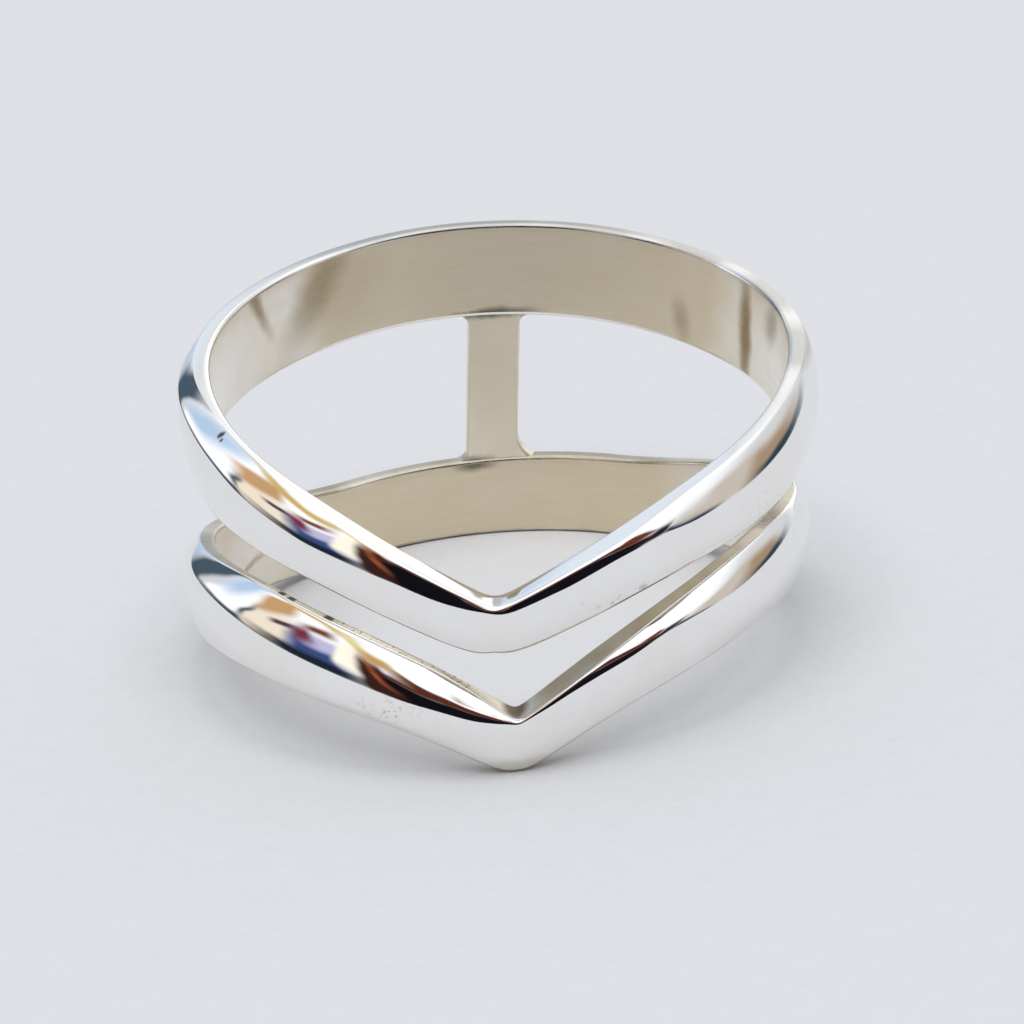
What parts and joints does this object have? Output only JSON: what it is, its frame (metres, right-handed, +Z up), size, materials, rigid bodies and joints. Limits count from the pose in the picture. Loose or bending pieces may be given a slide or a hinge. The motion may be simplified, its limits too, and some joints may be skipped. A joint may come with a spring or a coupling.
{
  "type": "double chevron ring",
  "caption": "Polished silver finger ring of two domed chevron bands, V tips at the front, joined by one upright bar at the back.",
  "frame": {"origin": "on the floor the ring lies on, under the middle of its box", "axes": "+Z up, -Y the front where the two V tips point down, +X to the right seen from the front"},
  "size_m": [0.0204, 0.0198, 0.0115],
  "materials": {
    "polished_silver": "polished outside, satin inside"
  },
  "bodies": {
    "root": {"chevron_ring": "polished_silver"}
  },
  "joints": []
}
